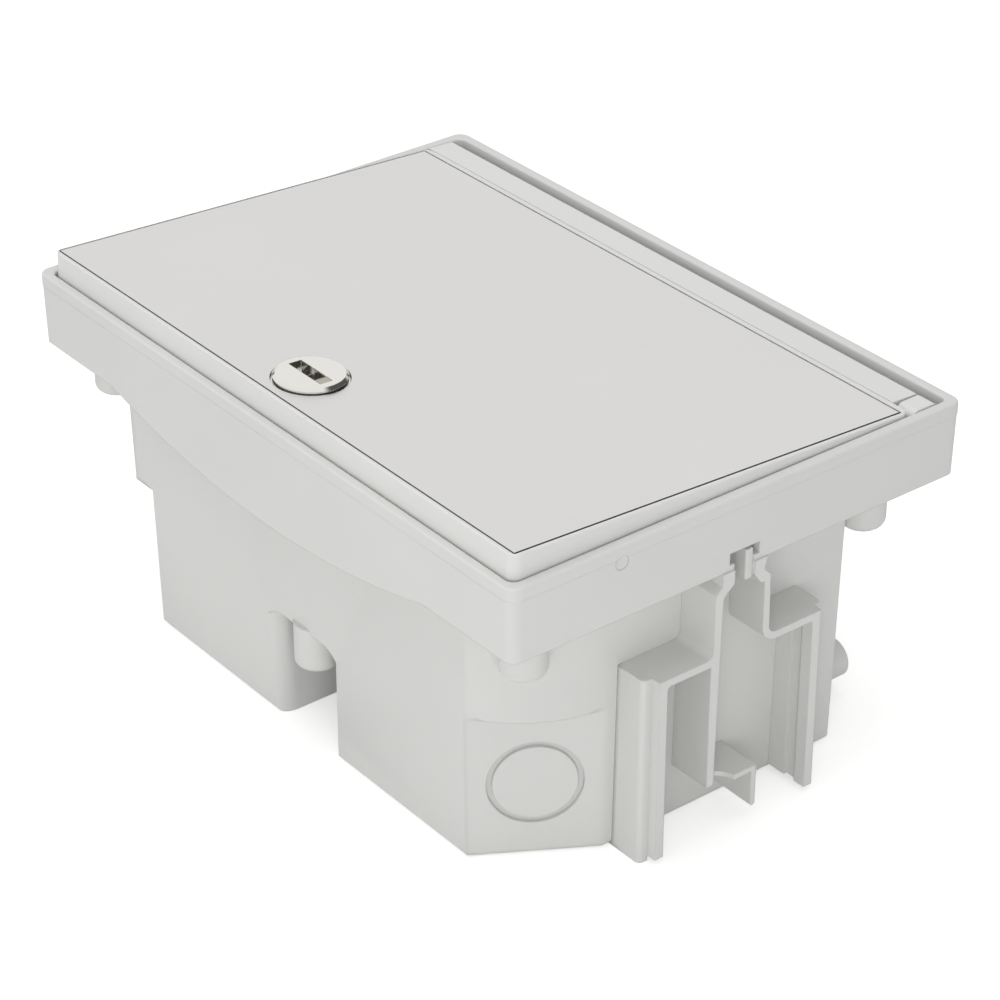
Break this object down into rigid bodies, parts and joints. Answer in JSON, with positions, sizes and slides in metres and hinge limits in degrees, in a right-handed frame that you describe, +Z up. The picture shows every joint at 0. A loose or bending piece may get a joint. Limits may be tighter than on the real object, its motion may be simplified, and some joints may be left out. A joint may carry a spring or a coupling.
{
  "type": "floor socket box",
  "caption": "Floor socket box with a flush rim, a stepped tub for cables and a hinged, steel-plated lid with a coin-turned lock, standing slightly ajar.",
  "frame": {"origin": "centre of the rim's outline in plan, at the level of the tub's underside", "axes": "+Z up, +X along the lid's hinge towards its end block, -Y towards the lock"},
  "size_m": [0.186, 0.131, 0.0964],
  "materials": {
    "housing_plastic": "fine satin grain",
    "lid_plastic": "satin",
    "plate_steel": "fine satin",
    "lock_chrome": "polished",
    "zinc_steel": "bright zinc",
    "seal_rubber": "matt",
    "socket_plastic": "satin",
    "contact_brass": "plain"
  },
  "bodies": {
    "box": {"box_body": "housing_plastic", "end_bracket_left": "housing_plastic", "end_bracket_right": "housing_plastic", "bracket_clip_left": "housing_plastic", "bracket_clip_right": "housing_plastic", "lid_seal": "seal_rubber", "hinge_pin": "zinc_steel", "hinge_end_block": "lid_plastic", "strike_plate": "zinc_steel", "strike_screws": "zinc_steel", "outlet_tray": "housing_plastic", "tray_screws": "zinc_steel", "outlet_cover_left": "socket_plastic", "outlet_cover_right": "socket_plastic", "outlet_base_left": "socket_plastic", "outlet_base_right": "socket_plastic", "outlet_contacts_left": "contact_brass", "outlet_contacts_right": "contact_brass", "outlet_earth_clip_left": "contact_brass", "outlet_earth_clip_right": "contact_brass", "cover_screws": "zinc_steel", "terminal_screws": "zinc_steel"},
    "lid": {"lid_frame": "lid_plastic", "lid_plate": "plate_steel", "plate_gasket": "seal_rubber", "lock_housing": "lock_chrome", "lock_nut": "zinc_steel"},
    "lock": {"lock_barrel": "lock_chrome", "lock_clip": "zinc_steel", "lock_cam": "zinc_steel", "cam_screw": "zinc_steel"}
  },
  "joints": [
    {"name": "lid_hinge", "type": "hinge", "parent": "box", "child": "lid", "pos_m": [0, 0.0576, 0.0859], "axis": [-1, 0, 0], "range_deg": [-2.77, 97.23]},
    {"name": "lock_turn", "type": "hinge", "parent": "lid", "child": "lock", "pos_m": [0, -0.04987, 0.0911], "axis": [0, -0.0483, -0.9988], "range_deg": [0, 90]}
  ]
}
